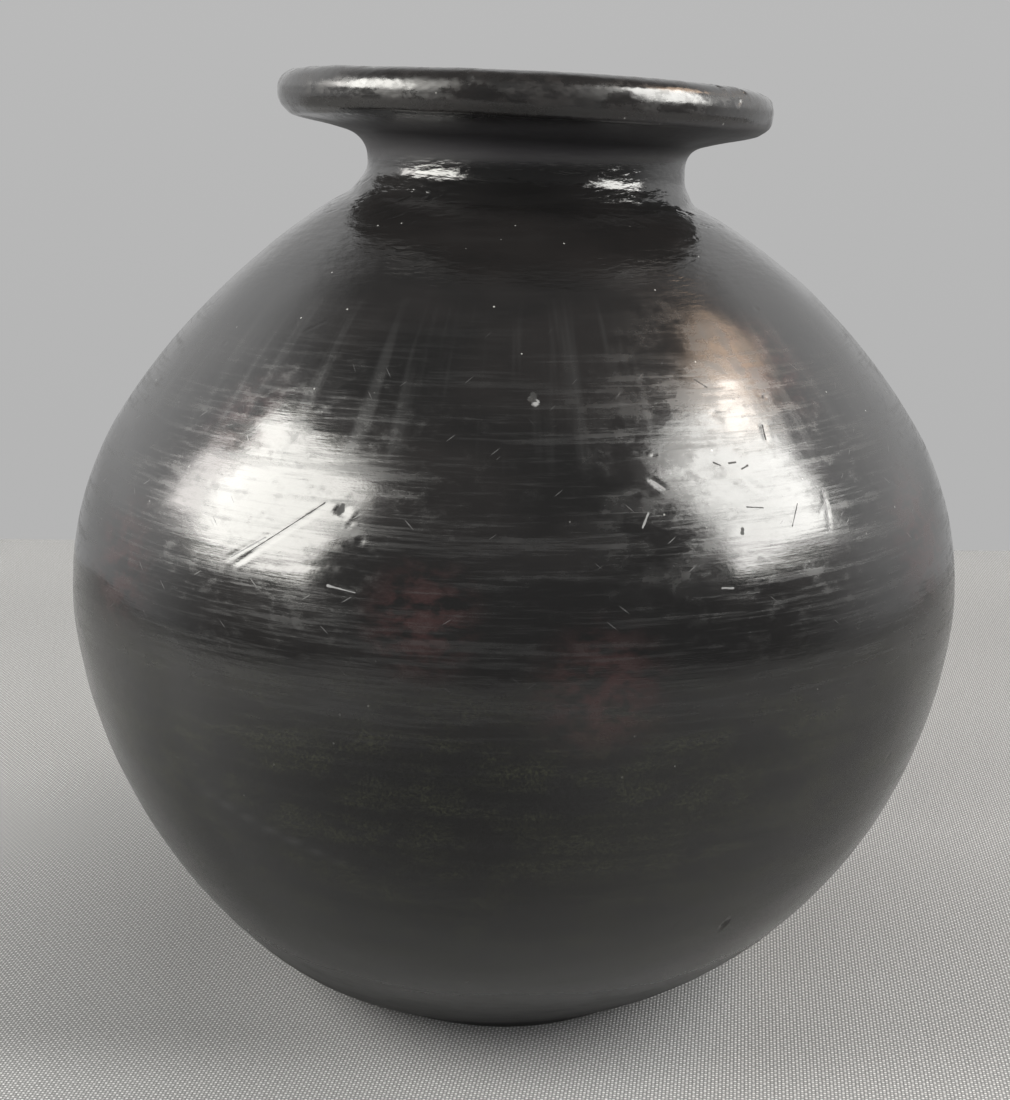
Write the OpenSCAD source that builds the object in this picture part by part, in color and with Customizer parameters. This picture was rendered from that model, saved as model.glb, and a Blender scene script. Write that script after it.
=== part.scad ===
// Burnished black clay pot: a round body on a small flat base, a short pinched neck
// and a wide lip that leans a little, as hand-built pots do.
//
// The wall is laid out as a chain of circular arcs that pass into one another without a
// corner: lower wall, belly, shoulder and, round the neck, a zone of a sphere whose centre
// lies on the axis. Each ring of clay is its own share of that wall, and the rings grip one
// another with half-laps. Angles are in degrees above the horizontal, seen from the arc's
// centre, and a profile point is [distance from the axis, height].

/* [Body] */
// Widest diameter of the body
body_d = 147; // [143:1:151]
// Height of the widest circle above the table
belly_z = 71.5; // [70:0.5:73]
// Profile radius of the belly
belly_r = 53; // [50:1:56]
// Profile radius of the shoulder
shoulder_r = 111; // [106:1:116]
// Profile radius of the lower wall
lower_r = 84; // [81:1:87]
// Angle below the horizontal where the lower wall ends and the belly starts
lower_end = 6.5; // [4:0.5:9]
// Angle where the belly ends and the shoulder starts
belly_end = 34; // [32:1:36]
// Angle where the shoulder ends and the zone of the sphere starts
shoulder_end = 55; // [54:0.5:56]

/* [Neck] */
// Outer diameter of the neck at its narrowest
neck_d = 51.5; // [49:0.5:52.5]
// Radius of the hollow curve between body, neck and lip
neck_curve = 5.3; // [4.8:0.1:6]
// Lean of neck and lip towards +X
neck_lean = 1.3; // [0.3:0.1:2]

/* [Lip] */
// Outer diameter of the lip
rim_d = 79; // [76:1:82]
// Slope of the lip's underside
rim_slope = 15; // [10:1:20]
// Height of the lip's upright edge
edge_h = 2.4; // [1.6:0.1:3.2]
// Size of the bevel below the upright edge
arris = 0.9; // [0.4:0.1:1.2]
// How far the rounded top of the lip stands above its upright edge
crown_h = 4; // [3:0.1:4.6]
// How far the top of the lip stands in from its outer edge
crown_in = 3.8; // [3:0.1:4.5]

/* [Clay] */
// Thickness of the wall
wall_t = 5; // [4:0.5:6]
// Thickness of the base
base_t = 6; // [5:0.5:8]
// How far the edge of the base disc slopes in from bottom to top
base_bevel = 3; // [2:0.5:4]
// Length of the half-lap by which one ring of clay grips the next
lap = 4; // [3:0.5:5]

/* [Hidden] */
$fn = 180;

clay = [0.09, 0.09, 0.095];
bare_clay = [0.13, 0.12, 0.12];

// Cuts reach this far past the surface that they open, in mm and in degrees.
over = 2;

function polar(c, r, a) = c + r * [cos(a), sin(a)];
function lap_angle(r) = lap / r * 180 / PI;

// Centres of the wall's arcs. Two arcs that meet share one normal, so each centre lies on
// the line through its neighbour's centre and their common point.
belly_c = [body_d / 2 - belly_r, belly_z];
lower_c = polar(belly_c, belly_r - lower_r, -lower_end);
shoulder_c = polar(belly_c, belly_r - shoulder_r, belly_end);
seat_c = [0, shoulder_c[1] - shoulder_c[0] * tan(shoulder_end)];
seat_r = shoulder_r + shoulder_c[0] / cos(shoulder_end);

// The lower wall's arc runs down to the table at the edge of the base.
base_r = lower_c[0] + sqrt(pow(lower_r, 2) - pow(lower_c[1], 2));

// The neck's hollow curve touches the sphere from outside.
neck_c_r = neck_d / 2 + neck_curve;
neck_c = [neck_c_r, seat_c[1] + sqrt(pow(seat_r + neck_curve, 2) - pow(neck_c_r, 2))];
seat_end = atan2(neck_c[1] - seat_c[1], neck_c[0]);

// The lip leaves the neck's curve along its underside.
rim_along = [cos(rim_slope), sin(rim_slope)];
rim_up = [-sin(rim_slope), cos(rim_slope)];
rim_start = neck_c + neck_curve * rim_up;
rim_edge = rim_start + (rim_d / 2 - rim_start[0]) / cos(rim_slope) * rim_along;

// Slice of a half-plane between the directions a and b, seen from c
module wedge(c, reach, a, b) {
    middle = (a + b) / 2;
    polygon([c, polar(c, 3 * reach, a), polar(c, 3 * reach, middle), polar(c, 3 * reach, b)]);
}

// Wall between two radii round centre c, from angle a to angle b
module wall_arc(c, r_out, r_in, a, b) {
    intersection() {
        translate(c) difference() {
            circle(r_out);
            circle(r_in);
        }
        wedge(c, r_out, a, b);
    }
}

// Outer half of the wall just above angle a, where the ring below reaches over the next one
module tongue_cut(c, r, a) {
    wall_arc(c, r + over, r - wall_t / 2, a - over, a + lap_angle(r));
}

// Inner half of the wall just above angle a, which belongs to the next ring
module inner_cut(c, r, a) {
    wall_arc(c, r - wall_t / 2, r - wall_t - over, a, a + 2 * lap_angle(r));
}

// Leans neck and lip about the centre of the sphere, which keeps them on its surface
module leaning() {
    translate([0, 0, seat_c[1]]) rotate([0, neck_lean, 0]) translate([0, 0, -seat_c[1]]) children();
}

module base_disc() {
    color(bare_clay) cylinder(h = base_t, r1 = base_r, r2 = base_r - base_bevel);
}

module lower_bowl() {
    tongue_end = -lower_end + lap_angle(lower_r);
    color(clay) rotate_extrude() difference() {
        intersection() {
            translate(lower_c) circle(lower_r);
            polygon([
                [base_r, 0],
                [base_r - base_bevel, base_t],
                polar(lower_c, lower_r - 3 * wall_t, tongue_end),
                polar(lower_c, lower_r + wall_t, tongue_end),
                [body_d, 0]
            ]);
        }
        intersection() {
            translate(lower_c) circle(lower_r - wall_t);
            translate([0, base_t]) square(body_d);
        }
        inner_cut(lower_c, lower_r, -lower_end);
    }
}

module belly_coil() {
    color(clay) rotate_extrude() difference() {
        wall_arc(belly_c, belly_r, belly_r - wall_t, -lower_end, belly_end + lap_angle(belly_r));
        tongue_cut(lower_c, lower_r, -lower_end);
        inner_cut(belly_c, belly_r, belly_end);
    }
}

module shoulder_coil() {
    color(clay) rotate_extrude() difference() {
        wall_arc(
            shoulder_c, shoulder_r, shoulder_r - wall_t, belly_end, shoulder_end + lap_angle(shoulder_r)
        );
        tongue_cut(belly_c, belly_r, belly_end);
        inner_cut(shoulder_c, shoulder_r, shoulder_end);
    }
}

module closing_coil() {
    neck_h = 2 * seat_r;
    color(clay) difference() {
        rotate_extrude() difference() {
            wall_arc(seat_c, seat_r, seat_r - wall_t, shoulder_end, seat_end + neck_lean + over);
            tongue_cut(shoulder_c, shoulder_r, shoulder_end);
        }
        leaning() translate([0, 0, seat_c[1]]) cylinder(h = neck_h, r1 = 0, r2 = neck_h / tan(seat_end));
    }
}

module neck_collar() {
    color(clay) leaning() rotate_extrude()
        wall_arc(neck_c, neck_curve + wall_t, neck_curve, 90 + rim_slope, 180 + seat_end);
}

module rim_coil() {
    round_top = [
        for (t = [0:15:90]) rim_edge + [crown_in * (cos(t) - 1), edge_h + crown_h * sin(t)]
    ];
    color(clay) leaning() rotate_extrude() polygon([
        rim_start,
        rim_edge - arris * rim_along,
        rim_edge + [0, arris],
        each round_top,
        rim_start + wall_t * rim_up
    ]);
}

base_disc();
lower_bowl();
belly_coil();
shoulder_coil();
closing_coil();
neck_collar();
rim_coil();
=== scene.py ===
"""Looks of a burnished black clay pot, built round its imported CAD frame.

The pot is one skin: a profile of [distance from the axis, height] in mm, swept round the
axis, then bent and marked as hands and wear leave it. Each ring of clay is cut from that
skin at the CAD's joints and closed with its own half-laps, so the rings fit face to face.
Azimuths are in degrees from the front (-Y) towards +X.
"""
import math
from types import SimpleNamespace

import bpy
import numpy as np
from mathutils import Matrix, Vector


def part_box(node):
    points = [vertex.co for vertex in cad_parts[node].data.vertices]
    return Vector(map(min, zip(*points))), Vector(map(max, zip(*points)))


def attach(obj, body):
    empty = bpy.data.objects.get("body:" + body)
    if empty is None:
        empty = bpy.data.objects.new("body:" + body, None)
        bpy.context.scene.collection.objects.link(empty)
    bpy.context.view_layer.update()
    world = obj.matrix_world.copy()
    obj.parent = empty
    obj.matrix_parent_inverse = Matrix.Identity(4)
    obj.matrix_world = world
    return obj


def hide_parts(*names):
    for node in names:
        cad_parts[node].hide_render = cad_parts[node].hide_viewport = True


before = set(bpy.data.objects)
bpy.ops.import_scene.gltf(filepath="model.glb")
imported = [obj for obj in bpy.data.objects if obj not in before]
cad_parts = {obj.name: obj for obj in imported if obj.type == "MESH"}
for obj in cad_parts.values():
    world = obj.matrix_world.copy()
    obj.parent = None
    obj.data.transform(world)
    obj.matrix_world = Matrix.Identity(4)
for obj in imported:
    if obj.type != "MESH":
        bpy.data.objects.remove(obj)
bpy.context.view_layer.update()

MM = 0.001
SEED = 20

# The wall's arcs, as in the CAD: radii in mm and angles in degrees above the horizontal
BELLY_Z, BELLY_ARC, SHOULDER_ARC, LOWER_ARC = 71.5, 53, 111, 84
LOWER_END, BELLY_END, SHOULDER_END = -6.5, 34, 55
WALL, BASE_T, BASE_BEVEL, LAP = 5, 6, 3, 4
NECK_R, NECK_CURVE, RIM_SLOPE = 25.75, 5.3, 15

# Edge of the foot, hollow of the underside, and middle of the discs that close it, in mm
FOOT_EDGE, FOOT_CUT, HOLLOW, MIDDLE = 2.4, 2.0, 0.3, 0.25

# Section of the lip, in mm out from and up from the CAD's lower edge of it, with the cut that
# rounds each corner from there to the mouth
LIP_CORNERS = [(-0.75, 0.1), (0, 1.6), (0.1, 3.4), (-0.5, 4.7), (-1.7, 5.7), (-4.2, 6.35)]
LIP_CUTS = [0.5, 0.5, 0.6, 0.6, 0.8, 1.4, 1.2]
MOUTH_BEVEL = 2.2

# Section of the neck, in mm out from its radius and up from its foot, with its cuts
NECK_CORNERS = [(2.1, 0.5), (0, 3.5)]
NECK_CUTS = [0.7, 1.2, 3.2]

# Lean of neck and lip in degrees, about a height in mm, and sideways shifts in mm
LEAN, LEAN_PIVOT = 2.3, 117
FOOT_SHIFT, NECK_SHIFT, LIP_SHIFT = 1.4, 0.3, 0.4

# Waves left by the hands: zone, height in mm, number of cosines, turns round the pot, and
# lengths along the profile in mm. Each draws its own random numbers, so their order matters.
WAVES = [
    ("outside", 0.16, 10, (1, 6), (45, 160)),
    ("outside", 0.026, 24, (3, 16), (7, 18)),
    ("middle", 0.006, 30, (2, 18), (3, 6)),
    ("lip", 0.05, 14, (3, 22), (8, 30)),
    ("crumbly_lip", 0.012, 60, (10, 170), (0.8, 6)),
    ("neck_foot", 0.016, 50, (5, 50), (1, 4)),
    ("inside", 0.28, 5, (1, 2), (9, 13)),
    ("inside", 0.20, 8, (2, 9), (20, 60)),
]

# Marks of use that stand out: azimuth, height, length, angle, width and depth in mm, and how
# pale the scar is
MARKS = [
    (2, 110.8, 0, 0, 1.2, 0.12, 0),
    (30.2, 33.4, 0.7, 40, 1.0, 0.35, 0),
    (-27.2, 92.6, 16.5, 38, 0.8, 0.07, 0),
    (-29.4, 92.0, 13.5, 34, 0.7, 0.05, 0),
    (-20, 96.6, 1.6, 75, 1.6, 0.10, 0),
    (-25, 89.3, 11.5, 4, 0.7, 0.03, 0),
    (16.5, 100.3, 3, -38, 0.8, 0.045, 0.1),
    (33.5, 105.5, 3, 79, 0.8, 0.045, 0),
    (27.4, 101.6, 5, 10, 1.0, 0.04, 0),
    (29.2, 99.4, 3.4, -35, 0.8, 0.04, 0),
    (33.8, 95.1, 5, 56, 0.7, 0.035, 0),
    (39, 95.1, 6.5, 80, 0.7, 0.025, 0.1),
    (-29, 50.6, 27, -17, 0.7, 0.03, 0.2),
]
# Chips in the lip: azimuth, rows above the middle of its section, length, width and depth in mm
LIP_CHIPS = [
    (82, -8, 2.2, 2.4, 0.55), (86, 2, 1.6, 1.8, 0.40), (57, 4, 1.2, 1.3, 0.25),
    (52, -4, 2.0, 1.0, 0.20), (48, 8, 1.0, 1.0, 0.20), (-12, 0, 1.0, 0.9, 0.15),
    (140, 3, 2.0, 1.8, 0.35), (-128, -3, 1.4, 1.2, 0.25), (-160, 6, 2.4, 1.0, 0.18),
]
CHIP_ANGLE, CHIP_SCUFF, LIP_MIDDLE = 30, 0.15, 0.55
# How many small marks are strewn all round
SCRATCHES, PITS, TOOL_MARKS = 150, 130, 90

# Fine marks in the clay's colour: azimuth, height, length, angle and width in mm. The dark ones are
# painted shade, near black, in the pinhole and in pits and scratch grooves
PALE_MARKS = [
    (2.3, 110.3, 0.3, 80, 1.0), (-18.7, 87, 4, -8, 0.25), (16.5, 100.3, 2.2, -38, 0.32),
    (14.4, 96.2, 2.2, 62, 0.2), (23.1, 87.2, 1.6, -5, 0.25), (39, 95.1, 6, 80, 0.16),
    (-31, 90.6, 6, 34, 0.2),
]
DARK_MARKS = [
    (2, 110.9, 0.7, 80, 1.15), (-20.2, 96.6, 1.1, 75, 0.8), (33.5, 105.5, 2.1, 79, 0.26),
    (28.4, 96.7, 2.6, -8, 0.18), (33.8, 95.1, 3.6, 56, 0.14), (24.8, 102.3, 1.0, -27, 0.28),
    (27, 102.3, 1.1, 3, 0.26), (28.6, 101.6, 1.2, 20, 0.28), (26, 94, 0.5, 70, 0.5),
    (26.4, 112, 2.0, -43, 0.16), (-26.6, 93.6, 13, 38, 0.16),
]
# Patches that the smoke has left reddish, and dull ones: azimuth, height and radius in mm
RED_PATCHES = [
    (-10, 84, 8), (9, 75, 9), (-53, 84, 10), (-38, 105, 8), (58, 88, 11), (40, 113, 9),
    (150, 92, 14), (-125, 80, 14),
]
DULL_PATCHES = [
    (20, 106, 17), (26, 117, 13), (15, 94, 11), (-140, 100, 18), (120, 110, 16),
    (-10, 150, 13), (20, 150, 9), (56, 150, 7), (-50, 150, 8),
]

# Spacing of the cloth's threads in metres and their turn in degrees, and two opposite corners
# of the table top in metres
THREAD, THREAD_TURN = 0.00058, 8
TABLE_LOW, TABLE_HIGH = (-0.6, -0.6), (0.6, 0.302)

# Light boxes round a point in the pot: azimuth, elevation, width, height, radiance and tint,
# with lengths in metres. The fill is further away, and nothing mirrors it.
LIT_POINT = (0, 0, 0.09)
LIGHT_BOXES = {
    "light_left": (-67, 29, 0.32, 0.28, 19, (1.0, 0.985, 0.93)),
    "light_left_end": (-92, 23, 0.10, 0.15, 11, (1.0, 0.96, 0.92)),
    "light_right": (70, 33, 0.28, 0.31, 18, (1.0, 0.99, 0.95)),
    "light_warm": (94, 48, 0.19, 0.11, 6.5, (1.0, 0.70, 0.48)),
}
FILL_BOX, FILL_DISTANCE = (0, 25, 0.9, 0.4, 5.5), 0.7

# The room: its walls and the rest as they are mirrored, and the even light on matt surfaces
WALL_GLOW, ROOM_GLOW, EVEN_GLOW = 1.15, 0.16, 0.7

# Camera: place in metres, pitch in degrees, roll in radians, lens and sensor in mm
CAMERA_AT, PITCH, ROLL = (-0.0015, -0.2726, 0.145), 14.34, 0.012
LENS, SENSOR = 53.52, 36


def span(node, axis):
    """Size of a CAD node along an axis, in mm"""
    low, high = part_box(node)
    return (high[axis] - low[axis]) / MM


BODY_R = span("belly_coil", 1) / 2
BASE_R = span("base_disc", 1) / 2
RIM_R = span("rim_coil", 1) / 2

# Columns of the skin, closer together in front, where the camera is
COLUMNS = 720
CROWDING = 0.38
AROUND = np.linspace(0, 2 * math.pi, COLUMNS, endpoint=False)
AZIMUTH = AROUND - CROWDING * np.sin(AROUND)


# ---------------------------------------------------------------- profile

def polar(centre, radius, angle):
    turn = math.radians(angle)
    return np.array([centre[0] + radius * math.cos(turn), centre[1] + radius * math.sin(turn)])


def arc(centre, radius, start, end, step):
    """Points about a step apart on an arc, its end left out"""
    count = max(2, round(abs(end - start) * math.pi / 180 * radius / step))
    return [polar(centre, radius, start + (end - start) * i / count) for i in range(count)]


def soft_path(corners, cuts, step):
    """Points along straight lines whose inner corners are rounded over the cut lengths"""
    corners = [np.array(c, float) for c in corners]
    cuts = [0, *cuts, 0]
    points = []
    for i in range(len(corners) - 1):
        line = corners[i + 1] - corners[i]
        length = np.linalg.norm(line)
        along = line / length
        start = corners[i] + cuts[i] * along
        end = corners[i + 1] - cuts[i + 1] * along
        count = max(1, round((length - cuts[i] - cuts[i + 1]) / step))
        points += [start + (end - start) * k / count for k in range(count)]
        if cuts[i + 1]:
            after = corners[i + 2] - corners[i + 1]
            leave = corners[i + 1] + cuts[i + 1] * after / np.linalg.norm(after)
            count = max(3, round(2 * cuts[i + 1] / step))
            points += corner_curve(end, corners[i + 1], leave, count)
    return points


def corner_curve(start, corner, end, count):
    """Points on a curve that leaves start and reaches end along the corner's two sides"""
    shares = [k / count for k in range(count)]
    return [(1 - t) ** 2 * start + 2 * t * (1 - t) * corner + t * t * end for t in shares]


belly_c = np.array([BODY_R - BELLY_ARC, BELLY_Z])
lower_c = polar(belly_c, BELLY_ARC - LOWER_ARC, LOWER_END)
shoulder_c = polar(belly_c, BELLY_ARC - SHOULDER_ARC, BELLY_END)
seat_c = np.array([0, shoulder_c[1] - shoulder_c[0] * math.tan(math.radians(SHOULDER_END))])
seat_r = SHOULDER_ARC + shoulder_c[0] / math.cos(math.radians(SHOULDER_END))
neck_c = np.array([
    NECK_R + NECK_CURVE,
    seat_c[1] + math.sqrt((seat_r + NECK_CURVE) ** 2 - (NECK_R + NECK_CURVE) ** 2),
])
seat_end = math.degrees(math.atan2(neck_c[1] - seat_c[1], neck_c[0]))
neck_foot = polar(seat_c, seat_r, seat_end)
rim_start = polar(neck_c, NECK_CURVE, 90 + RIM_SLOPE)
flange_in = polar(neck_c, NECK_CURVE + WALL, 90 + RIM_SLOPE)
slope = math.tan(math.radians(RIM_SLOPE))
rim_edge = np.array([RIM_R, rim_start[1] + (RIM_R - rim_start[0]) * slope])
foot_angle = -math.degrees(math.asin(lower_c[1] / LOWER_ARC))
floor_angle = -math.degrees(math.asin((lower_c[1] - BASE_T) / (LOWER_ARC - WALL)))
floor_r = polar(lower_c, LOWER_ARC - WALL, floor_angle)[0]


def lap_on(radius):
    """Angle that a half-lap takes up on an arc"""
    return math.degrees(LAP / radius)


# In the walls below, the last number of each arc and path is the spacing of its rows in mm

def foot_path(end_angle):
    """Rounded edge between the underside and the lower wall"""
    corners = [[BASE_R - FOOT_EDGE, 0], [BASE_R, 0], polar(lower_c, LOWER_ARC, end_angle)]
    return soft_path(corners, [FOOT_CUT], 0.35)


def neck_path():
    under_lip = [NECK_R, rim_start[1] - (rim_start[0] - NECK_R) * slope]
    bends = [[NECK_R + out, neck_foot[1] + up] for out, up in NECK_CORNERS]
    return soft_path([neck_foot, *bends, under_lip, rim_start], NECK_CUTS, 0.35)


def lip_path():
    mouth_edge = flange_in + [MOUTH_BEVEL, MOUTH_BEVEL * slope]
    bends = [rim_edge + corner for corner in LIP_CORNERS]
    return soft_path([rim_start, *bends, mouth_edge, flange_in], LIP_CUTS, 0.25)


def outer_wall():
    """The outside, from the middle of the underside to the inner edge of the lip"""
    foot_end = foot_angle + math.degrees(FOOT_EDGE / LOWER_ARC)
    belly_start = LOWER_END + lap_on(BELLY_ARC)
    shoulder_start = BELLY_END + lap_on(SHOULDER_ARC)
    closing_start = SHOULDER_END + lap_on(seat_r)
    underside = [[MIDDLE, HOLLOW], [BASE_R - 7, 0.25], [BASE_R - FOOT_EDGE, 0]]
    return [
        ("underside", soft_path(underside, [3], 1.1)),
        ("lower", foot_path(foot_end)
            + arc(lower_c, LOWER_ARC, foot_end, LOWER_END, 1.1)
            + arc(belly_c, BELLY_ARC, LOWER_END, belly_start, 0.5)),
        ("belly", arc(belly_c, BELLY_ARC, belly_start, BELLY_END, 0.42)
            + arc(shoulder_c, SHOULDER_ARC, BELLY_END, shoulder_start, 0.42)),
        ("shoulder", arc(shoulder_c, SHOULDER_ARC, shoulder_start, SHOULDER_END, 0.42)
            + arc(seat_c, seat_r, SHOULDER_END, closing_start, 0.42)),
        ("closing", arc(seat_c, seat_r, closing_start, seat_end, 0.4)),
        ("neck", neck_path()),
        ("rim", lip_path()),
    ]


def inner_wall():
    """The inside, from the inner edge of the lip down to the middle of the floor"""
    floor_edge, floor_middle = [BASE_R - BASE_BEVEL, BASE_T], [MIDDLE, BASE_T]
    lower_arc, lower_end = LOWER_ARC - WALL, floor_angle + 3
    corner = [polar(lower_c, lower_arc, lower_end), [floor_r, BASE_T], floor_edge]
    return [
        ("neck_in", arc(neck_c, NECK_CURVE + WALL, 90 + RIM_SLOPE, 180 + seat_end, 0.8)),
        ("closing_in", arc(seat_c, seat_r - WALL, seat_end, SHOULDER_END, 1)),
        ("shoulder_in", arc(shoulder_c, SHOULDER_ARC - WALL, SHOULDER_END, BELLY_END, 1.4)),
        ("belly_in", arc(belly_c, BELLY_ARC - WALL, BELLY_END, LOWER_END, 1.6)),
        ("lower_in", arc(lower_c, lower_arc, LOWER_END, lower_end, 3)
            + soft_path(corner, [2.5], 0.8)),
        ("floor_in", soft_path([floor_edge, floor_middle], [], 1.5) + [np.array(floor_middle)]),
    ]


# ---------------------------------------------------------------- shape of the real thing

def smooth(low, high, value):
    """0 up to low, 1 from high, and a soft step between"""
    t = np.clip((value - low) / (high - low), 0, 1)
    return t * t * (3 - 2 * t)


def bump_at(azimuth, width):
    """Soft bump over the columns round an azimuth, both in degrees"""
    offset = (np.degrees(AZIMUTH) - azimuth + 180) % 360 - 180
    return np.exp(-(offset / width) ** 2)


def bend_by_hand(points):
    """Large irregularities: neck and lip lean towards +X, the foot sits a little to -X"""
    height = points[..., 2]
    lean = math.radians(LEAN) * smooth(125.5, 139, height)
    up = height - LEAN_PIVOT
    x = points[..., 0] * np.cos(lean) + up * np.sin(lean)
    z = LEAN_PIVOT - points[..., 0] * np.sin(lean) + up * np.cos(lean)
    x = x - FOOT_SHIFT * (1 - smooth(0, 42, height)) + NECK_SHIFT * smooth(127, 132, height)
    x = x - (NECK_SHIFT + LIP_SHIFT) * smooth(139, 146, height)
    return np.stack([x, points[..., 1], z], axis=-1)


def swept(profile):
    """Grid of points [row, column, xyz] from a profile"""
    profile = np.asarray(profile)
    radius, height = profile[:, 0, None], profile[:, 1, None]
    return np.stack([
        radius * np.sin(AZIMUTH),
        -radius * np.cos(AZIMUTH),
        np.broadcast_to(height, (len(profile), COLUMNS)),
    ], axis=-1)


def waves(rng, arclen, count, turns, lengths):
    """Sum of cosines round the pot and along its profile, about 1 at its highest"""
    total = np.zeros((len(arclen), COLUMNS))
    for _ in range(count):
        around = rng.integers(turns[0], turns[1] + 1)
        length = rng.uniform(*lengths)
        phase = rng.uniform(0, 2 * math.pi)
        side = rng.choice([-1, 1])
        total += np.cos(
            around * AZIMUTH + side * 2 * math.pi * arclen[:, None] / length + phase
        )
    return total / math.sqrt(2 * count)


class Skin:
    """The whole surface of the pot as one grid of rows and columns"""

    def __init__(self):
        self.first = {}
        rows = []
        for name, points in outer_wall() + inner_wall():
            self.first[name] = len(rows)
            rows += list(points)
        self.profile = np.array(rows)
        steps = np.linalg.norm(np.diff(self.profile, axis=0), axis=1)
        self.arclen = np.concatenate([[0], np.cumsum(steps)])
        self.lift = np.zeros((len(rows), COLUMNS))
        self.scuff = np.zeros((len(rows), COLUMNS))

    def rows(self, name):
        """Rows of a chunk, with the first row of the next one"""
        names = list(self.first)
        here = names.index(name)
        last = self.first[names[here + 1]] if here + 1 < len(names) else len(self.profile) - 1
        return list(range(self.first[name], last + 1))

    def between(self, start, end, fade):
        """Weight per row: 1 between two chunks' first rows, fading over some mm"""
        low, high = self.arclen[self.first[start]], self.arclen[self.first[end]]
        weight = smooth(low - fade, low + fade, self.arclen)
        return weight * (1 - smooth(high - fade, high + fade, self.arclen))

    def outer_band(self, low, full, fade, end):
        """Weight per row outside, below the lip: 1 at heights from full to fade"""
        height = self.profile[:, 1]
        weight = smooth(low, full, height) * (1 - smooth(fade, end, height))
        weight[self.first["rim"]:] = 0
        return weight

    def row_at(self, height):
        """Outer row nearest to a height, in mm"""
        outside = self.profile[self.first["lower"]: self.first["rim"], 1]
        return int(np.abs(outside - height).argmin()) + self.first["lower"]

    def mark(self, azimuth, height, length, angle, width, depth, scuff, row=None):
        """A scratch or pit: a capsule-shaped groove in the outside. Angle 0 runs level."""
        row = self.row_at(height) if row is None else row
        radius = self.profile[row, 0]
        reach = length / 2 + 3 * width
        near = np.nonzero(np.abs(self.arclen - self.arclen[row]) < reach)[0]
        offset = (AZIMUTH - math.radians(azimuth) + math.pi) % (2 * math.pi) - math.pi
        beside = np.nonzero(np.abs(offset) * radius < reach)[0]
        across = offset[beside][None, :] * radius
        along = (self.arclen[near] - self.arclen[row])[:, None]
        turn = math.radians(angle)
        u = across * math.cos(turn) + along * math.sin(turn)
        v = -across * math.sin(turn) + along * math.cos(turn)
        taper = np.clip(1 - (2 * np.abs(u) / length) ** 4, 0, 1) if length else 1
        beyond = np.maximum(np.abs(u) - length / 2, 0)
        distance = np.hypot(beyond, v) / (width / 2)
        groove = np.exp(-distance ** 2) * taper
        ridge = 0.3 * np.exp(-(distance - 1.9) ** 2 * 2.5) * taper
        scar = scuff * np.exp(-distance ** 2 / 1.5) * taper
        patch = np.ix_(near, beside)
        self.lift[patch] += depth * (ridge - groove)
        self.scuff[patch] = np.maximum(self.scuff[patch], scar)

    def settle(self):
        """Turns the profile, its lift and the hand-made bends into points and normals"""
        tangent = np.gradient(self.profile, axis=0)
        tangent /= np.linalg.norm(tangent, axis=1)[:, None]
        out = np.stack([tangent[:, 1], -tangent[:, 0]], axis=-1)
        push = swept(out)
        self.points = bend_by_hand(swept(self.profile) + self.lift[..., None] * push)
        self.points[..., 2] = np.maximum(self.points[..., 2], 0)
        along = np.gradient(self.points, axis=0)
        round_it = np.roll(self.points, -1, axis=1) - np.roll(self.points, 1, axis=1)
        normal = np.cross(round_it, along)
        self.normals = normal / np.linalg.norm(normal, axis=-1)[..., None]


def shape_skin():
    rng = np.random.default_rng(SEED)
    skin = Skin()
    zones = wave_zones(skin)
    for zone, depth, count, turns, lengths in WAVES:
        skin.lift += zones[zone] * depth * waves(rng, skin.arclen, count, turns, lengths)
    skin.lift += foot_dent(skin) + uneven_lip(skin) + full_shoulder(skin)
    add_marks(skin)
    scatter_marks(skin, rng)
    skin.settle()
    return skin


def wave_zones(skin):
    """Weights of the waves over the skin's rows, and for the lip over its columns too"""
    outside = skin.between("lower", "rim", 8)
    weights = {
        "outside": outside,
        "middle": outside * smooth(50, 74, skin.profile[:, 1]),
        "lip": skin.between("rim", "neck_in", 1),
        "neck_foot": skin.outer_band(125, 130, 138, 142),
        "inside": skin.between("closing_in", "floor_in", 8),
    }
    zones = {name: weight[:, None] for name, weight in weights.items()}
    zones["crumbly_lip"] = zones["lip"] * (0.5 + 0.7 * bump_at(-2, 40))
    return zones


def foot_dent(skin):
    """The foot is pressed flatter in front and stands out on its left"""
    return skin.outer_band(0, 3, 5, 24)[:, None] * (0.45 * bump_at(-55, 25) - 0.95 * bump_at(8, 32))


def full_shoulder(skin):
    """The wall below the neck is a little fuller on the left than on the right"""
    sides = 0.25 * bump_at(-90, 60) - 0.25 * bump_at(90, 50) - 0.1
    return skin.outer_band(118, 129, 134.5, 138)[:, None] * sides


def uneven_lip(skin):
    """The lip is thicker at its sides than in front, where its top stands a little higher"""
    start, end = skin.first["rim"], skin.first["neck_in"]
    along = skin.arclen - skin.arclen[start]
    arris = along[start:end][np.argmax(skin.profile[start:end, 0] > RIM_R - 0.3)]
    under = smooth(0, 0.7 * arris, along) * (1 - smooth(arris - 3, arris - 1, along))
    crown = smooth(arris + 2, arris + 5, along) * (1 - smooth(arris + 9, arris + 13, along))
    low = 0.7 * bump_at(-90, 55) + 0.45 * bump_at(90, 50) - 0.5 * bump_at(0, 40)
    return under[:, None] * low + crown[:, None] * 0.4 * bump_at(15, 40)


def add_marks(skin):
    for mark in MARKS:
        skin.mark(*mark)
    start, end = skin.first["rim"], skin.first["neck_in"]
    middle = start + int(LIP_MIDDLE * (end - start))
    for azimuth, step, length, width, depth in LIP_CHIPS:
        skin.mark(azimuth, 0, length, CHIP_ANGLE, width, depth, CHIP_SCUFF, row=middle + step)


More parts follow.
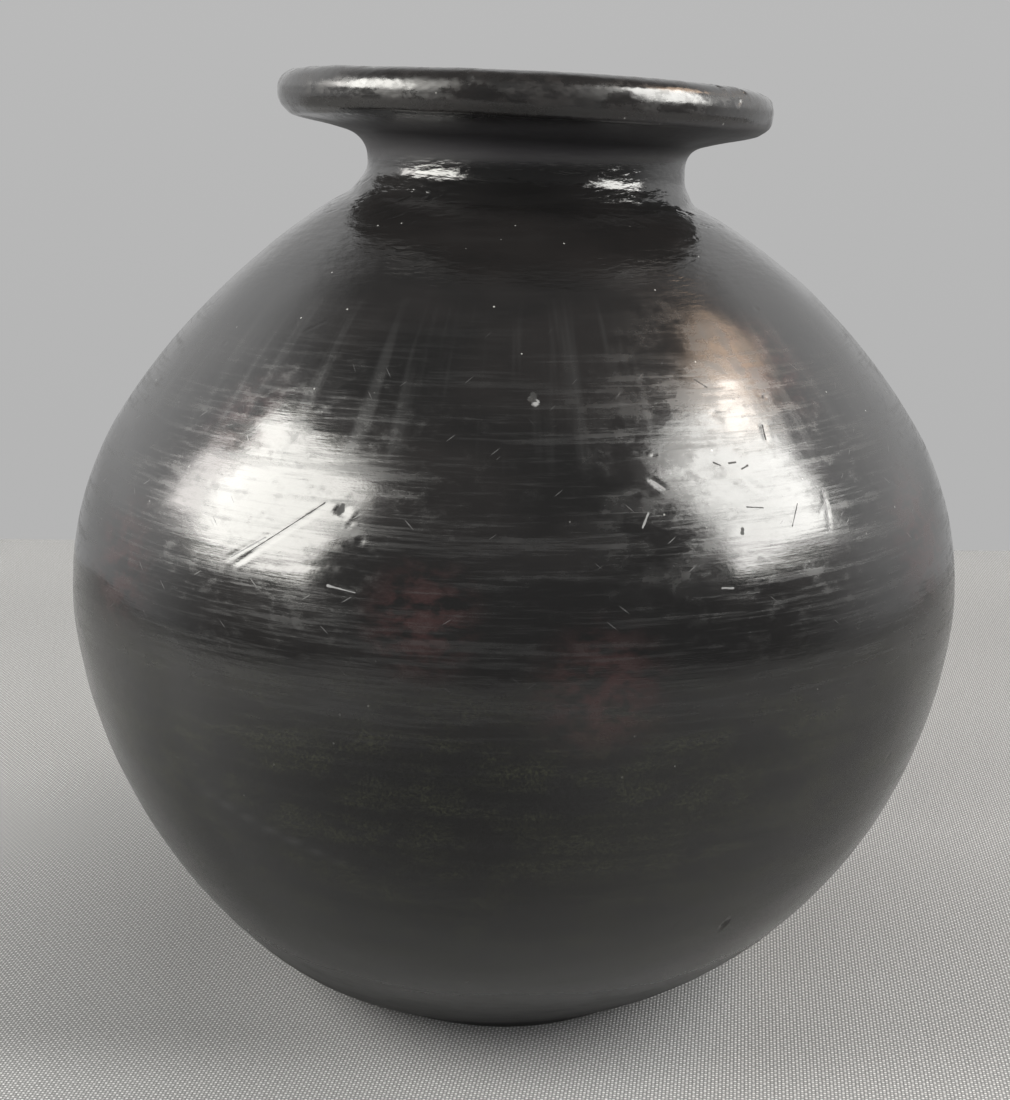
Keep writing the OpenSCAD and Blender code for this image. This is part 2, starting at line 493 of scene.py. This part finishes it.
def scatter_marks(skin, rng):
    """Small marks all round: scratches, pits, and tool marks at the foot of the neck"""
    for _ in range(SCRATCHES):
        height = rng.triangular(52, 100, 134)
        length, angle = rng.uniform(0.8, 5), rng.normal(0, 38)
        width, depth = rng.uniform(0.45, 0.7), rng.uniform(0.008, 0.03)
        skin.mark(rng.uniform(-180, 180), height, length, angle, width, depth, 0)
    for _ in range(PITS):
        width, depth = rng.uniform(0.5, 1.0), rng.uniform(0.015, 0.06)
        skin.mark(rng.uniform(-180, 180), rng.uniform(14, 132), 0, 0, width, depth, 0)
    for _ in range(TOOL_MARKS):
        side = rng.choice([-1, 1])
        angle, depth = side * rng.uniform(5, 50), rng.uniform(0.03, 0.10)
        azimuth, height = side * rng.uniform(20, 170), rng.uniform(131.5, 136.5)
        length, width = rng.uniform(1, 3.5), rng.uniform(0.35, 0.6)
        skin.mark(azimuth, height, length, -angle, width, depth, 0)


# ---------------------------------------------------------------- rings of clay

def lap_rows(centre, radius, start, end):
    """Middle of the wall, from angle start to angle end"""
    return [polar(centre, radius - WALL / 2, start), polar(centre, radius - WALL / 2, end)]


def ring_rows(skin, stretches):
    """Rows of a ring's section: points, normals, and what is shown, matt and scuffed"""
    points, normals, shown, matt, scuff = [], [], [], [], []
    for stretch in stretches:
        count = len(stretch)
        if isinstance(stretch[0], int):
            points += [skin.points[i] for i in stretch]
            normals += [skin.normals[i] for i in stretch]
            shown += [True] * (count - 1) + [False]
            matt += [i >= skin.first["closing_in"] for i in stretch]
            scuff += [skin.scuff[i] for i in stretch]
        else:
            hidden = bend_by_hand(swept(stretch))
            points += list(hidden)
            normals += list(np.zeros_like(hidden))
            shown += [False] * count
            matt += [True] * count
            scuff += [np.zeros(COLUMNS)] * count
    return [np.array(rows) for rows in (points, normals, shown, matt, scuff)]


def ring_quads(count, bands):
    """Corner numbers of the faces between neighbouring rows"""
    row = np.arange(bands)[:, None]
    col = np.arange(COLUMNS)[None, :]
    above, beside = (row + 1) % count, (col + 1) % COLUMNS
    return np.stack([
        row * COLUMNS + col, row * COLUMNS + beside,
        above * COLUMNS + beside, above * COLUMNS + col,
    ], axis=-1).reshape(-1, 4)


def cap_faces(count):
    """Triangles from the first and the last row to a middle point each"""
    low, high, top = count * COLUMNS, count * COLUMNS + 1, (count - 1) * COLUMNS
    faces = []
    for j in range(COLUMNS):
        k = (j + 1) % COLUMNS
        faces.append([low, k, j])
        faces.append([high, top + j, top + k])
    return faces


def set_normals(mesh, quads, normals, shown):
    """Gives the shown faces the skin's own normals, so that rings meet without a seam"""
    face_normals = np.zeros((len(mesh.polygons), 3))
    mesh.polygons.foreach_get("normal", face_normals.ravel())
    round_ones = normals.reshape(-1, 3)[quads]
    flat_ones = face_normals[: len(quads), None, :]
    loops = np.where(shown[:, None, None], round_ones, flat_ones).reshape(-1, 3)
    caps = np.repeat(face_normals[len(quads):], 3, axis=0)
    mesh.normals_split_custom_set(np.vstack([loops, caps]).tolist())


def ring_mesh(name, skin, stretches, closed):
    """Mesh of one ring. A stretch is a list of skin rows, or of hidden profile points.

    A section that isn't closed ends at the axis twice, as the base's does, and is capped.
    """
    points, normals, shown, matt, scuff = ring_rows(skin, stretches)
    count = len(points)
    bands = count if closed else count - 1
    quads = ring_quads(count, bands)
    corners = points.reshape(-1, 3) * MM
    faces = quads.tolist()
    if not closed:
        corners = np.vstack([corners, points[0].mean(0) * MM, points[-1].mean(0) * MM])
        faces += cap_faces(count)
    mesh = bpy.data.meshes.new(name)
    mesh.from_pydata(corners.tolist(), [], faces)
    mesh.update()
    set_normals(mesh, quads, normals, np.repeat(shown[:bands], COLUMNS))

    slots = np.zeros(len(faces), np.int32)
    slots[: len(quads)] = np.repeat(matt[:bands], COLUMNS)
    mesh.polygons.foreach_set("material_index", slots)
    scuffs = np.zeros(len(corners), np.float32)
    scuffs[: scuff.size] = scuff.ravel()
    mesh.attributes.new("scuff", "FLOAT", "POINT").data.foreach_set("value", scuffs)
    return mesh


def add_ring(name, node, mesh, materials):
    piece = bpy.data.objects.new(name, mesh)
    bpy.context.collection.objects.link(piece)
    for material in materials:
        mesh.materials.append(material)
    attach(piece, "root")
    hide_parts(node)
    return piece


def make_rings(skin, burnished, bare):
    lower = lap_rows(belly_c, BELLY_ARC, LOWER_END + lap_on(BELLY_ARC), LOWER_END)
    belly = lap_rows(shoulder_c, SHOULDER_ARC, BELLY_END + lap_on(SHOULDER_ARC), BELLY_END)
    shoulder = lap_rows(seat_c, seat_r, SHOULDER_END + lap_on(seat_r), SHOULDER_END)
    rows = skin.rows
    plans = {
        "base_disc": ([rows("underside"), rows("floor_in")], False),
        "lower_bowl": ([rows("lower"), lower, rows("lower_in")], True),
        "belly_coil": ([rows("belly"), belly, rows("belly_in"), lower[::-1]], True),
        "shoulder_coil": ([rows("shoulder"), shoulder, rows("shoulder_in"), belly[::-1]], True),
        "closing_coil": ([rows("closing"), rows("closing_in"), shoulder[::-1]], True),
        "neck_collar": ([rows("neck"), rows("neck_in")], True),
        "rim_coil": ([rows("rim")], True),
    }
    for node, (stretches, closed) in plans.items():
        mesh = ring_mesh("clay_" + node, skin, stretches, closed)
        outside = bare if node == "base_disc" else burnished
        add_ring("clay_" + node, node, mesh, [outside, bare])


# ---------------------------------------------------------------- materials

def grey(level):
    return (level, level, level, 1)


class Nodes:
    """Short way to write the node tree of a material or world"""

    def __init__(self, owner):
        owner.use_nodes = True
        self.tree = owner.node_tree
        self.tree.nodes.clear()

    def add(self, kind, inputs=None, **settings):
        made = self.tree.nodes.new(kind)
        for name, value in settings.items():
            setattr(made, name, value)
        for name, value in (inputs or {}).items():
            if isinstance(value, bpy.types.NodeSocket):
                self.tree.links.new(value, made.inputs[name])
            else:
                made.inputs[name].default_value = value
        return made

    def vector(self, operation, a, b=(0, 0, 0)):
        return self.add("ShaderNodeVectorMath", {0: a, 1: b}, operation=operation)

    def place(self, stretch):
        """Object coordinates times a stretch, in features per metre"""
        where = self.add("ShaderNodeTexCoord").outputs["Object"]
        return self.vector("MULTIPLY", where, stretch).outputs[0]

    def noise(self, stretch, detail, rough):
        return self.add("ShaderNodeTexNoise", {
            "Vector": self.place(stretch), "Scale": 1.0, "Detail": detail, "Roughness": rough,
        }).outputs["Fac"]

    def noise_round(self, where, stretch, detail):
        """Noise over azimuth and height"""
        return self.add("ShaderNodeTexNoise", {
            "Vector": self.vector("MULTIPLY", where, stretch).outputs[0],
            "Scale": 1.0, "Detail": detail,
        }).outputs["Fac"]

    def math(self, operation, a, b=0.0, clamp=False):
        return self.add(
            "ShaderNodeMath", {0: a, 1: b}, operation=operation, use_clamp=clamp
        ).outputs[0]

    def times(self, a, b):
        return self.math("MULTIPLY", a, b)

    def plus(self, a, b):
        return self.math("ADD", a, b)

    def total(self, parts):
        total = parts[0]
        for part in parts[1:]:
            total = self.plus(total, part)
        return total

    def ramp(self, value, low, high, to_low=0.0, to_high=1.0):
        """Soft step from to_low, where the value is low, to to_high"""
        return self.add("ShaderNodeMapRange", {
            "Value": value, "From Min": low, "From Max": high, "To Min": to_low, "To Max": to_high,
        }, interpolation_type="SMOOTHSTEP").outputs[0]

    def band(self, value, rise, fall):
        """1 between two soft steps, each given as the value where it is 0 and where it is 1"""
        return self.times(self.ramp(value, *rise), self.ramp(value, *fall))

    def mix(self, factor, a, b):
        return self.add("ShaderNodeMix", {0: factor, 6: a, 7: b}, data_type="RGBA").outputs[2]

    def bump(self, height, distance, normal=None):
        inputs = {"Height": height, "Distance": distance, "Strength": 1.0}
        if normal is not None:
            inputs["Normal"] = normal
        return self.add("ShaderNodeBump", inputs).outputs[0]

    def scuff(self):
        """How worn the skin is, as its marks have left it"""
        return self.add("ShaderNodeAttribute", attribute_name="scuff").outputs["Fac"]

    def round_pot(self):
        """Azimuth in radians and height in metres, as a vector"""
        parts = self.add("ShaderNodeSeparateXYZ", {
            "Vector": self.add("ShaderNodeTexCoord").outputs["Object"],
        }).outputs
        azimuth = self.math("ARCTAN2", parts["X"], self.times(parts["Y"], -1.0))
        return self.add("ShaderNodeCombineXYZ", {"X": azimuth, "Y": parts["Z"]}).outputs[0]

    def finish(self, **inputs):
        shader = self.add("ShaderNodeBsdfPrincipled", {
            name.replace("_", " "): value for name, value in inputs.items()
        })
        self.add("ShaderNodeOutputMaterial", {"Surface": shader.outputs[0]})


def nearest_mark(n, skin, where, marks):
    """Distance to the nearest mark, in half widths of that mark"""
    nearest = None
    for azimuth, height, length, angle, width in marks:
        row = skin.row_at(height)
        radius = skin.profile[row, 0] * MM
        step = skin.profile[row + 1] - skin.profile[row - 1]
        stretch = float(np.linalg.norm(step) / step[1])
        turn, size = -math.radians(angle), width / 2 * MM
        across, along = math.radians(azimuth) * radius, height * MM * stretch
        start = (
            (math.sin(turn) * along - math.cos(turn) * across) / size,
            (-math.sin(turn) * across - math.cos(turn) * along) / size,
            0,
        )
        local = n.add("ShaderNodeMapping", {
            "Vector": where, "Location": start, "Rotation": (0, 0, turn),
            "Scale": (radius / size, stretch / size, 1),
        }).outputs[0]
        if length:
            local = n.vector("ABSOLUTE", local).outputs[0]
            local = n.vector("SUBTRACT", local, (length / width, 0, 0)).outputs[0]
            local = n.vector("MAXIMUM", local).outputs[0]
        distance = n.vector("LENGTH", local).outputs["Value"]
        nearest = distance if nearest is None else n.math("MINIMUM", nearest, distance)
    return nearest


def patches_of(n, skin, where, patches, blotches):
    """Soft blotchy mask over a list of round patches"""
    marks = [(azimuth, height, 0, 0, 2 * radius) for azimuth, height, radius in patches]
    return n.times(n.ramp(nearest_mark(n, skin, where, marks), 1.3, 0.2), blotches)


def hairlines(n, where, angle, cells, longer, share):
    """Mask of short thin scratches all over, turned by an angle"""
    belly_radius = 0.073
    local = n.add("ShaderNodeMapping", {
        "Vector": where, "Rotation": (0, 0, math.radians(angle)), "Scale": (belly_radius, 1, 1),
    }).outputs[0]
    local = n.vector("MULTIPLY", local, (cells, cells * longer, 1)).outputs[0]
    cell = n.add("ShaderNodeTexVoronoi", {"Vector": local, "Scale": 1.0}).outputs
    lot = n.add("ShaderNodeSeparateColor", {"Color": cell["Color"]}).outputs[0]
    return n.times(n.ramp(cell["Distance"], 0.20, 0.08), n.math("GREATER_THAN", lot, 1 - share))


def clay_masks(n, skin):
    """Noises, zones by height in metres, and marks that the burnished clay is made from"""
    where = n.round_pot()
    height = n.add("ShaderNodeSeparateXYZ", {"Vector": where}).outputs["Y"]
    m = SimpleNamespace(height=height)
    m.strokes = n.noise((95, 95, 2000), 4, 0.7)
    m.bands = n.noise((22, 22, 520), 4, 0.6)
    m.patches = n.noise((34, 34, 60), 4, 0.6)
    m.mottle = n.noise((300, 300, 520), 4, 0.65)
    m.grain = n.noise((2600, 2600, 2600), 2, 0.5)
    m.jagged = n.noise_round(where, (13, 1500, 1), 3.0)
    m.cloudy = n.ramp(n.noise((110, 110, 210), 5, 0.7), 0.42, 0.60)

    m.on_belly = n.band(height, (0.058, 0.078), (0.126, 0.104))
    m.on_neck = n.band(height, (0.119, 0.127), (0.143, 0.140))
    m.under_lip = n.band(height, (0.1395, 0.1425), (0.1475, 0.1455))
    m.on_lip = n.ramp(height, 0.1455, 0.1475)
    on_shoulder = n.band(height, (0.100, 0.106), (0.124, 0.118))
    m.upright = n.times(n.ramp(n.noise_round(where, (24, 40, 1), 2.0), 0.50, 0.75), on_shoulder)

    ragged = n.times(n.ramp(m.mottle, 0.3, 0.7, -0.5, 0.5), 1.2)
    m.dark = n.ramp(n.plus(nearest_mark(n, skin, where, DARK_MARKS), ragged), 1.3, 0.6)
    pale = n.ramp(n.plus(nearest_mark(n, skin, where, PALE_MARKS), ragged), 1.3, 0.6)
    m.pale = n.times(pale, n.math("SUBTRACT", 1.0, m.dark))
    m.red = patches_of(n, skin, where, RED_PATCHES, n.ramp(m.mottle, 0.38, 0.60))
    m.dull = patches_of(n, skin, where, DULL_PATCHES, m.cloudy)
    hairs = n.math(
        "MAXIMUM",
        hairlines(n, where, -32, 190, 10, 0.07),
        hairlines(n, where, 38, 170, 11, 0.06),
    )
    m.hairs = n.times(hairs, n.times(m.on_belly, n.ramp(height, 0.070, 0.084)))

    m.stroke_share = n.ramp(m.on_belly, 0, 1, 0.2, 1.0)
    worked = n.ramp(n.plus(m.strokes, n.times(m.bands, 0.8)), 0.86, 1.08)
    m.worked = n.times(worked, m.stroke_share)
    return m


def clay_roughness(n, m):
    """The polish, and all that takes some of it away"""
    marked = n.plus(n.plus(m.dark, m.pale), n.times(m.hairs, 0.4))
    rough = n.total([
        n.ramp(m.patches, 0.3, 0.7, 0.12, 0.16),
        n.times(m.worked, 0.12),
        n.times(m.stroke_share, n.ramp(m.mottle, 0.50, 0.72, 0, 0.13)),
        n.ramp(m.height, 0.075, 0.050, 0.0, 0.04),
        n.times(m.under_lip, 0.40),
        n.ramp(m.height, 0.026, 0.006, 0.0, 0.42),
        n.times(m.on_lip, n.ramp(m.mottle, 0.46, 0.60, 0.0, 0.12)),
        n.times(m.dull, n.ramp(m.on_lip, 0, 1, 0.12, 0.22)),
        n.times(m.cloudy, 0.03),
        n.times(m.upright, 0.07),
    ])
    return n.math("ADD", rough, n.times(marked, 0.5), clamp=True)


def lower_clay(n, m):
    """Colour of the lower half: slate clouds, olive clouds that are a painted reflection of the
    room, and dark specks
    """
    slate, olive_reflection = (0.0030, 0.0030, 0.0034, 1), (0.0120, 0.0128, 0.0070, 1)
    # The painted olive reflection fades out below 30 mm and is gone at the foot
    above_foot = n.times(m.cloudy, n.ramp(m.height, 0.008, 0.030))
    clouds = n.mix(above_foot, slate, olive_reflection)
    specks = n.times(n.ramp(m.grain, 0.35, 0.75), n.ramp(m.bands, 0.35, 0.60, 0.3, 1.0))
    return n.mix(specks, grey(0.0015), clouds)


def dust_on(n, m):
    """Mask of single light specks, most of them high up"""
    cell = n.add("ShaderNodeTexVoronoi", {"Vector": n.place((260, 260, 260)), "Scale": 1.0})
    dust = n.times(n.ramp(cell.outputs["Distance"], 0.05, 0.02), n.ramp(m.patches, 0.42, 0.52))
    return n.times(dust, n.ramp(m.height, 0.080, 0.110, 0.15, 0.8))


def clay_colour(n, m):
    """Black clay with its layers on top, from the lowest to the highest"""
    black, browner = (0.0038, 0.0037, 0.0037, 1), (0.0060, 0.0055, 0.0054, 1)
    colour = n.mix(n.ramp(m.patches, 0.35, 0.65), black, browner)
    # The lower half takes the colour below, with its painted olive reflection
    colour = n.mix(n.ramp(m.height, 0.082, 0.062), colour, lower_clay(n, m))
    lip_brown = n.times(m.on_lip, n.ramp(m.mottle, 0.35, 0.75, 0.0, 0.35))
    layers = [
        (n.times(m.red, 0.75), (0.0165, 0.0080, 0.0078, 1)),
        (n.times(m.worked, 0.30), grey(0.015)),
        (n.times(m.upright, 0.3), grey(0.018)),
        # Painted light: a paler grey under the lip lifts the shade there, standing partly for
        # duller clay
        (n.times(m.under_lip, 0.9), (0.021, 0.020, 0.022, 1)),
        (lip_brown, (0.009, 0.0068, 0.0062, 1)),
        (dust_on(n, m), (0.20, 0.20, 0.19, 1)),
        (n.times(m.hairs, 0.4), grey(0.05)),
        (n.times(n.scuff(), 0.4), grey(0.10)),
        (n.times(m.pale, 0.7), grey(0.13)),
        # Painted shade: the pinhole, pits and scratch grooves drawn near black
        (m.dark, grey(0.002)),
    ]
    for factor, layer in layers:
        colour = n.mix(factor, colour, layer)
    return colour


def clay_relief(n, m):
    """Height of the fine relief, in thousandths of a mm"""
    return n.total([
        n.times(m.strokes, n.times(m.stroke_share, 9)),
        n.times(m.bands, n.times(m.stroke_share, 30)),
        n.times(m.mottle, n.ramp(m.on_lip, 0, 1, 24, 34)),
        n.times(m.jagged, n.times(m.on_neck, 110)),
        n.times(m.grain, 2.5),
    ])


def burnished_clay(skin):
    material = bpy.data.materials.new("burnished_clay")
    n = Nodes(material)
    m = clay_masks(n, skin)
    normal = n.bump(clay_relief(n, m), MM / 1000)
    n.finish(Base_Color=clay_colour(n, m), Roughness=clay_roughness(n, m), Normal=normal, IOR=1.52)
    return material


def bare_clay():
    material = bpy.data.materials.new("bare_clay")
    n = Nodes(material)
    patches = n.noise((60, 60, 60), 4, 0.6)
    grit = n.noise((900, 900, 900), 4, 0.7)
    strokes = n.noise((40, 40, 500), 3, 0.6)
    colour = n.mix(n.ramp(patches, 0.3, 0.7), (0.020, 0.019, 0.018, 1), (0.045, 0.042, 0.040, 1))
    colour = n.mix(n.ramp(grit, 0.6, 0.75, 0, 0.5), colour, (0.085, 0.080, 0.075, 1))
    colour = n.mix(n.times(n.scuff(), 0.4), colour, (0.16, 0.155, 0.15, 1))
    rough = n.ramp(n.plus(grit, strokes), 0.7, 1.3, 0.62, 0.88)
    normal = n.bump(grit, 0.12 * MM, n.bump(strokes, 0.16 * MM))
    n.finish(Base_Color=colour, Roughness=rough, Normal=normal, IOR=1.5)
    return material


def painted_floor_light(n):
    """Painted light and shade on the cloth, by place in metres: darkest beside and before the pot,
    lighter to the sides, at the back and far off, and lifted in the pot's shadow
    """
    flat = n.add("ShaderNodeSeparateXYZ", {"Vector": n.place((1, 1, 1))}).outputs
    x, y = flat["X"], flat["Y"]
    sides = n.plus(n.ramp(x, -0.02, 0.065, 0.0, 0.66), n.ramp(x, -0.04, -0.20, 0.0, 0.9))
    depth = n.ramp(y, -0.01, 0.14, 0.06, 1.05)
    gain = n.math("MINIMUM", n.plus(sides, depth), 1.1)
    gain = n.plus(gain, n.ramp(y, 0.19, 0.30, 0.0, 0.55))
    # Painted light that lifts the pot's shadow on the cloth just in front of it, stronger left of
    # the middle
    in_front = n.band(y, (-0.028, -0.046), (-0.12, -0.055))
    gain = n.plus(gain, n.times(in_front, n.ramp(x, 0.065, 0.0, 0.10, 0.45)))
    # Painted light that lifts the shadow close round the foot
    away = n.vector("LENGTH", n.place((1, 1, 0))).outputs["Value"]
    gain = n.plus(gain, n.ramp(away, 0.062, 0.032, 0.0, 0.36))
    return n.math("MAXIMUM", gain, n.ramp(away, 0.22, 0.50, 0.0, 1.0))


def cloth():
    """Plain weave: knots in a chequered pattern, those of one thread higher than the other's"""
    material = bpy.data.materials.new("cloth")
    n = Nodes(material)
    turned = n.add("ShaderNodeMapping", {
        "Vector": n.place((1, 1, 1)), "Rotation": (0, 0, math.radians(THREAD_TURN)),
    }).outputs[0]
    parts = n.add("ShaderNodeSeparateXYZ", {"Vector": turned}).outputs
    warp, weft = (n.math("SINE", n.times(parts[axis], math.pi / THREAD)) for axis in ("X", "Y"))
    weave = n.times(warp, weft)
    on_top = n.math("GREATER_THAN", weave, 0.0)
    knots = n.times(n.math("ABSOLUTE", weave), n.plus(n.times(on_top, 0.45), 0.55))
    fuzz = n.noise((1500, 1500, 1500), 3, 0.6)
    shade = n.plus(n.times(knots, 0.8), n.times(fuzz, 0.5))
    # The painted floor light sets how light each thread's colour is
    gain = n.times(painted_floor_light(n), 0.5)
    dark = n.mix(gain, grey(0.050), grey(0.150))
    light = n.mix(gain, (0.205, 0.205, 0.203, 1), (0.615, 0.615, 0.609, 1))
    colour = n.mix(n.ramp(shade, 0.25, 1.1), dark, light)
    n.finish(Base_Color=colour, Roughness=0.8, Normal=n.bump(shade, 0.1 * MM))
    return material


# ---------------------------------------------------------------- studio

def table_top():
    (left, front), (right, back) = TABLE_LOW, TABLE_HIGH
    mesh = bpy.data.meshes.new("table_top")
    corners = [(left, front, 0), (right, front, 0), (right, back, 0), (left, back, 0)]
    mesh.from_pydata(corners, [], [(0, 1, 2, 3)])
    mesh.materials.append(cloth())
    floor = bpy.data.objects.new("table_top", mesh)
    bpy.context.collection.objects.link(floor)


def soft_box(name, azimuth, elevation, width, height, radiance, colour=(1, 1, 1), distance=0.5):
    """Area light seen from the middle of the pot at these angles"""
    a, e = math.radians(azimuth), math.radians(elevation)
    toward = Vector((math.sin(a) * math.cos(e), -math.cos(a) * math.cos(e), math.sin(e)))
    light = bpy.data.lights.new(name, "AREA")
    light.shape = "RECTANGLE"
    light.size, light.size_y = width, height
    light.energy = radiance * math.pi * width * height
    light.color = colour
    lamp = bpy.data.objects.new(name, light)
    lamp.location = Vector(LIT_POINT) + distance * toward
    lamp.rotation_mode = "QUATERNION"
    lamp.rotation_quaternion = toward.to_track_quat("Z", "Y")
    lamp.visible_camera = False
    bpy.context.collection.objects.link(lamp)
    return lamp


def add_lights():
    for name, box in LIGHT_BOXES.items():
        soft_box(name, *box)
    fill = soft_box("fill", *FILL_BOX, distance=FILL_DISTANCE)
    fill.visible_glossy = False


def room_light():
    """Dim room in front and above, pale walls at the back and sides"""
    world = bpy.data.worlds.new("room")
    bpy.context.scene.world = world
    n = Nodes(world)
    way = n.add("ShaderNodeTexCoord").outputs["Generated"]
    parts = n.add("ShaderNodeSeparateXYZ", {"Vector": way}).outputs
    behind = n.ramp(parts["Y"], -0.35, 0.25)
    low = n.ramp(parts["Z"], 0.86, 0.55)
    glow = n.times(behind, low)
    glow = n.times(glow, n.ramp(parts["Y"], 0.45, 0.9, 1.0, 0.55))
    glow = n.times(glow, n.ramp(parts["Z"], -0.05, 0.16, 0.62, 1.0))
    mirrored = n.plus(n.times(glow, WALL_GLOW), ROOM_GLOW)
    seen = n.ramp(parts["Z"], -0.25, 0.2, 0.46, 0.495)
    ray = n.add("ShaderNodeLightPath").outputs
    strength = n.add(
        "ShaderNodeMix", {0: ray["Is Diffuse Ray"], 2: mirrored, 3: EVEN_GLOW}
    ).outputs[0]
    strength = n.add("ShaderNodeMix", {0: ray["Is Camera Ray"], 2: strength, 3: seen}).outputs[0]
    shade = n.add("ShaderNodeBackground", {"Color": (1, 1, 1, 1), "Strength": strength})
    n.add("ShaderNodeOutputWorld", {"Surface": shade.outputs[0]})


def front_camera():
    pitch = math.radians(PITCH)
    level_up = Vector((0, math.sin(pitch), math.cos(pitch)))
    ahead = Vector((0, math.cos(pitch), -math.sin(pitch)))
    right = math.cos(ROLL) * Vector((1, 0, 0)) + math.sin(ROLL) * level_up
    up = math.cos(ROLL) * level_up - math.sin(ROLL) * Vector((1, 0, 0))
    data = bpy.data.cameras.new("camera")
    data.lens = LENS
    data.sensor_width = SENSOR
    data.clip_start = 0.01
    camera = bpy.data.objects.new("camera", data)
    turn = Matrix((right, up, -ahead)).transposed()
    camera.matrix_world = Matrix.Translation(CAMERA_AT) @ turn.to_4x4()
    bpy.context.collection.objects.link(camera)
    bpy.context.scene.camera = camera


front_camera()
skin = shape_skin()
make_rings(skin, burnished_clay(skin), bare_clay())
table_top()
add_lights()
room_light()
bpy.context.scene.view_settings.view_transform = "Standard"
